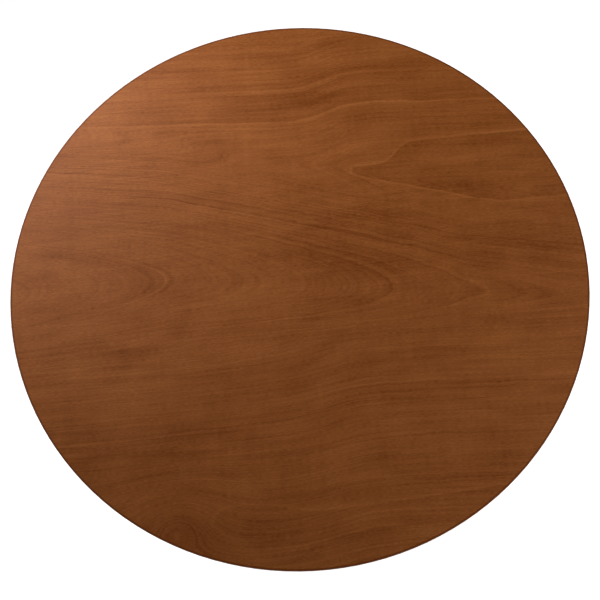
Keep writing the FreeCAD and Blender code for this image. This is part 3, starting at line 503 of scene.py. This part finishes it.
def paint_table():
    """A material for every CAD node. Most piths lie beside their piece, as in sawn boards."""
    paint(["face_veneer"], show_veneer())
    paint(["top_core"], solid_wood("core_board", grain=(1, 0, 0)))
    paint(["backing_veneer"], solid_wood("backing_veneer", grain=(1, 0.02, 0), pith=(0, 0.2, 0.62)))
    paint(["edge_band"], lipping_wood())
    for side in ("left", "right"):
        low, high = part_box(f"bearer_{side}")
        paint([f"bearer_{side}"],
              solid_wood(f"bearer_{side}_wood", grain=(0, 1, 0), pith=(low[0] - 0.03, 0, low[2] - 0.02)))
    paint(["tilt_block"], solid_wood("block_wood", grain=(1, 0, 0), pith=(0, 0.02, BLOCK_UNDERSIDE - 0.04)))
    paint(["column"], turned_wood("column_wood", pith=(0.045, -0.020)))
    for leg in ("leg_rear", "leg_front_left", "leg_front_right"):
        low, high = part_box(leg)
        out = Vector(((low[0] + high[0]) / 2, (low[1] + high[1]) / 2, 0)).normalized()
        paint([leg], leg_wood(f"{leg}_wood", grain=out * 0.8 + Vector((0, 0, -0.6)),
                              pith=out.cross(Vector((0, 0, 1))) * 0.05))
    paint(["tenon_wedge"], solid_wood("wedge_wood", pale=(0.50, 0.30, 0.14), deep=(0.30, 0.15, 0.06)))
    brass = plain_metal("brass", colour=(0.72, 0.48, 0.18), shade=(0.42, 0.25, 0.08), roughness=0.34)
    paint(["pivot_bush_left", "pivot_bush_right", "keeper_plate", "keeper_screws", "catch_plate",
           "catch_screws", "catch_guides", "catch_rod", "catch_knob"], brass)
    steel = plain_metal("zinc_steel", colour=(0.62, 0.61, 0.58), shade=(0.40, 0.39, 0.36), roughness=0.36)
    paint(["pivot_bolt_left", "pivot_bolt_right", "pivot_washers", "bearer_screws", "spider_screws",
           "glide_nails"], steel)
    iron = dull("black_iron", colour=(0.030, 0.029, 0.028), shade=(0.012, 0.012, 0.012), roughness=0.55,
                grain=900.0)
    paint(["spider_plate"], iron)
    rubber = dull("rubber", colour=(0.035, 0.034, 0.033), shade=(0.015, 0.015, 0.015), roughness=0.80,
                  grain=1500.0)
    paint(["rest_buffers", "stop_buffers"], rubber)
    nylon = dull("nylon", colour=(0.050, 0.042, 0.036), shade=(0.025, 0.021, 0.018), roughness=0.50,
                 grain=1200.0)
    paint(["foot_glide_rear", "foot_glide_front_left", "foot_glide_front_right"], nylon)


# ---- camera, light and floor ----

CAMERA_DISTANCE = 1.8
CAMERA_ELEVATION = math.radians(69.09)
CAMERA_ROLL = math.radians(-5.42)
CAMERA_LENS = 89.28
SENSOR_WIDTH = 36.0
AIM = Vector((-0.0001, -0.0242, TOP_Z))
STAGE_RADIUS = 12.0
STAGE_SIDES = 96
WALL_HEIGHT = 8.0
FLOOR_REFLECTANCE = 0.85
FLOOR_GLOW = 0.72
WALL_GLOW = 0.83
WORLD_STRENGTH = 0.10


def look_at(thing, target, roll=0.0):
    """Turn a camera or lamp at its place so that it faces the target."""
    direction = (target - thing.location).normalized()
    turn = direction.to_track_quat("-Z", "Y").to_matrix().to_4x4()
    thing.matrix_world = (Matrix.Translation(thing.location) @ turn
                          @ Matrix.Rotation(roll, 4, "Z"))


def add_camera():
    """A camera in front of the table and high above it."""
    camera = bpy.data.objects.new("camera", bpy.data.cameras.new("camera"))
    camera.data.lens = CAMERA_LENS
    camera.data.sensor_width = SENSOR_WIDTH
    bpy.context.scene.collection.objects.link(camera)
    camera.location = Vector((0, -CAMERA_DISTANCE * math.cos(CAMERA_ELEVATION),
                              TOP_Z + CAMERA_DISTANCE * math.sin(CAMERA_ELEVATION)))
    look_at(camera, AIM, CAMERA_ROLL)
    bpy.context.scene.camera = camera


def add_softbox(name, azimuth, elevation, distance, size, power):
    """A square soft light that faces the middle of the top, in degrees, metres and watts."""
    lamp = bpy.data.objects.new(name, bpy.data.lights.new(name, "AREA"))
    lamp.data.shape = "SQUARE"
    lamp.data.size = size
    lamp.data.energy = power
    lamp.visible_camera = False
    bpy.context.scene.collection.objects.link(lamp)
    across, up = math.radians(azimuth), math.radians(elevation)
    centre = Vector((0, 0, TOP_Z))
    lamp.location = centre + distance * Vector((math.cos(up) * math.cos(across),
                                                math.cos(up) * math.sin(across), math.sin(up)))
    look_at(lamp, centre)


def add_stage_piece(name, points, faces, reflectance, glow):
    """A plain white piece of the studio that glows a little, so that shadows on it stay pale."""
    mesh = bpy.data.meshes.new(name)
    mesh.from_pydata(points, [], faces)
    piece = bpy.data.objects.new(name, mesh)
    bpy.context.scene.collection.objects.link(piece)
    material, shader, _ = new_material(f"{name}_white")
    shader.inputs["Base Color"].default_value = (reflectance, reflectance, reflectance, 1)
    shader.inputs["Roughness"].default_value = 1.0
    shader.inputs["Specular IOR Level"].default_value = 0.0
    shader.inputs["Emission Color"].default_value = (1, 1, 1, 1)
    shader.inputs["Emission Strength"].default_value = glow
    mesh.materials.append(material)
    return piece


def add_stage():
    """A round floor, and a wall round it that only the camera sees, so that it throws no light."""
    corners = [(STAGE_RADIUS * math.cos(turn), STAGE_RADIUS * math.sin(turn))
               for turn in (2 * math.pi * index / STAGE_SIDES for index in range(STAGE_SIDES))]
    rim = [(x, y, 0) for x, y in corners]
    add_stage_piece("floor", rim, [range(STAGE_SIDES)], FLOOR_REFLECTANCE, FLOOR_GLOW)
    top = [(x, y, WALL_HEIGHT) for x, y in corners]
    sides = [(index, (index + 1) % STAGE_SIDES, STAGE_SIDES + (index + 1) % STAGE_SIDES,
              STAGE_SIDES + index) for index in range(STAGE_SIDES)]
    wall = add_stage_piece("backdrop", rim + top, sides, 0.0, WALL_GLOW)
    wall.visible_diffuse = False
    wall.visible_glossy = False
    wall.visible_shadow = False


def add_light():
    """A low soft key beyond the far left of the top, a weak low fill, and a pale surround."""
    add_softbox("key", azimuth=131, elevation=28, distance=0.85, size=0.5, power=7.6)
    add_softbox("fill", azimuth=350, elevation=16, distance=0.8, size=1.3, power=7.2)
    world = bpy.data.worlds.new("surround")
    world.use_nodes = True
    background = next(node for node in world.node_tree.nodes if node.type == "BACKGROUND")
    background.inputs["Color"].default_value = (1, 1, 1, 1)
    background.inputs["Strength"].default_value = WORLD_STRENGTH
    bpy.context.scene.world = world
    bpy.context.scene.view_settings.view_transform = "Standard"


add_camera()
add_stage()
add_light()
paint_table()
